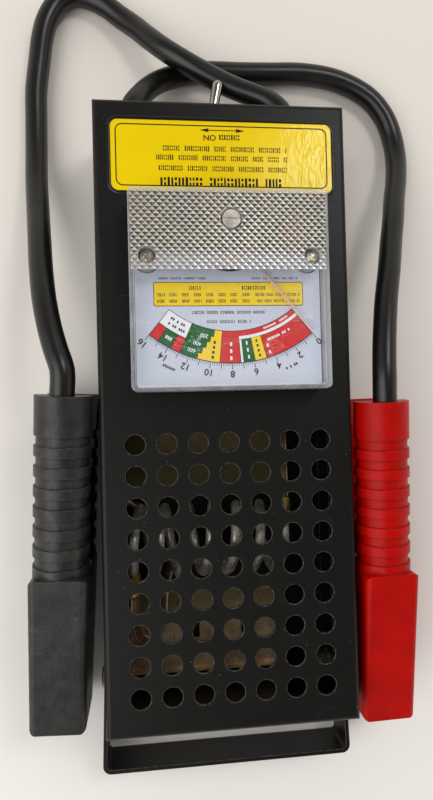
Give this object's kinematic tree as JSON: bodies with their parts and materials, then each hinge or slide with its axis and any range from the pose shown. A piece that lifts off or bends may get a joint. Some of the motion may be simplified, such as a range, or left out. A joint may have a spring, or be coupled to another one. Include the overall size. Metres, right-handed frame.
{
  "type": "battery load tester",
  "caption": "Hand-held lead-acid battery load tester: vented black steel case, panel meter, toggle switch, folding carry handle and two spring clamps on heavy leads.",
  "frame": {"origin": "middle of the flat outside of the back plate, on which the case lies", "axes": "+X across the case, from the black clamp to the red clamp; +Y along the case, from the carrying handle to the leads and the toggle; +Z out of the face that carries the meter"},
  "size_m": [0.2012, 0.3979, 0.0666],
  "materials": {
    "case_paint": "satin black",
    "label_print": "glossy yellow print",
    "bronze_sheet": "heat-tinted sheet",
    "resistance_wire": "matte oxidised",
    "brown_insulation": "varnished brown",
    "brass": "dull",
    "ceramic": "matte",
    "copper": "bare copper",
    "tinned": "tinned",
    "black_rubber": "satin",
    "phenolic": "moulded",
    "chrome": "plated",
    "zinc": "zinc plated",
    "clear_plastic": "clear styrene",
    "dial_print": "matte white print",
    "magnet_steel": "ground",
    "pointer_paint": "pale orange-red",
    "red_insulation": "glossy",
    "black_clamp": "worn matte",
    "red_clamp": "satin"
  },
  "bodies": {
    "housing": {"front_cover": "case_paint", "back_cover": "case_paint", "cover_screws": "case_paint", "label_plate": "label_print", "upper_shield": "bronze_sheet", "lower_shield": "bronze_sheet", "load_coil": "resistance_wire", "feed_wire": "brown_insulation", "return_wire": "brown_insulation", "wire_ferrules": "brass", "ceramic_posts": "ceramic", "terminal_bolts": "brass", "bus_bar": "copper", "ring_terminals": "tinned", "lead_lugs": "copper", "lead_tails": "black_rubber", "lead_grommets": "black_rubber", "toggle_body": "phenolic", "toggle_bushing": "chrome", "toggle_nut": "chrome", "toggle_terminals": "brass", "meter_body": "phenolic", "meter_cover": "clear_plastic", "dial_plate": "dial_print", "magnet_yoke": "magnet_steel", "core_magnet": "magnet_steel", "upper_bridge": "brass", "lower_bridge": "brass", "hairspring": "tinned", "meter_screws": "zinc", "meter_studs": "zinc", "meter_terminals": "brass", "sense_wires": "red_insulation", "handle_bolts": "zinc", "handle_nuts": "zinc", "black_lead": "black_rubber", "red_lead": "black_rubber", "black_clamp_upper_grip": "black_clamp", "black_clamp_upper_jaw": "copper", "black_clamp_pin": "zinc", "black_clamp_spring": "zinc", "black_clamp_lug": "copper", "red_clamp_upper_grip": "red_clamp", "red_clamp_upper_jaw": "copper", "red_clamp_pin": "zinc", "red_clamp_spring": "zinc", "red_clamp_lug": "copper"},
    "toggle_lever": {"toggle_lever": "chrome", "toggle_contact": "brass"},
    "handle": {"handle": "case_paint"},
    "pointer": {"pointer": "pointer_paint", "moving_coil": "copper"},
    "zero_adjuster": {"zero_adjuster": "clear_plastic"},
    "black_clamp_jaw": {"black_clamp_lower_grip": "black_clamp", "black_clamp_lower_jaw": "copper"},
    "red_clamp_jaw": {"red_clamp_lower_grip": "red_clamp", "red_clamp_lower_jaw": "copper"}
  },
  "joints": [
    {"name": "toggle_hinge", "type": "hinge", "parent": "housing", "child": "toggle_lever", "pos_m": [-0.002, 0.143, 0.025], "axis": [0, 0, 1], "range_deg": [0, 22], "stiffness_Nm_per_rad": 0.06, "springref_deg": -11.46},
    {"name": "handle_hinge", "type": "hinge", "parent": "housing", "child": "handle", "pos_m": [0, -0.131, 0.0103], "axis": [-1, 0, 0], "range_deg": [-150, 90]},
    {"name": "pointer_hinge", "type": "hinge", "parent": "housing", "child": "pointer", "pos_m": [0.0013, 0.0795, 0.0584], "axis": [0, 0, -1], "range_deg": [0, 81], "stiffness_Nm_per_rad": 0.00005, "springref_deg": -17.19, "deforming": ["hairspring"]},
    {"name": "adjuster_hinge", "type": "hinge", "parent": "housing", "child": "zero_adjuster", "pos_m": [0.0013, 0.0832, 0.0655], "axis": [0, 0, 1], "range_deg": [-12, 12]},
    {"name": "black_clamp_hinge", "type": "hinge", "parent": "housing", "child": "black_clamp_jaw", "pos_m": [-0.0768, -0.07062, 0.02612], "axis": [0.9989, -0.0471, 0], "range_deg": [0, 18], "stiffness_Nm_per_rad": 1, "springref_deg": -20.05, "deforming": ["black_clamp_spring"]},
    {"name": "red_clamp_hinge", "type": "hinge", "parent": "housing", "child": "red_clamp_jaw", "pos_m": [0.07455, -0.0767, 0.02612], "axis": [0.9998, 0.0192, 0], "range_deg": [0, 18], "stiffness_Nm_per_rad": 1, "springref_deg": -20.05, "deforming": ["red_clamp_spring"]}
  ]
}
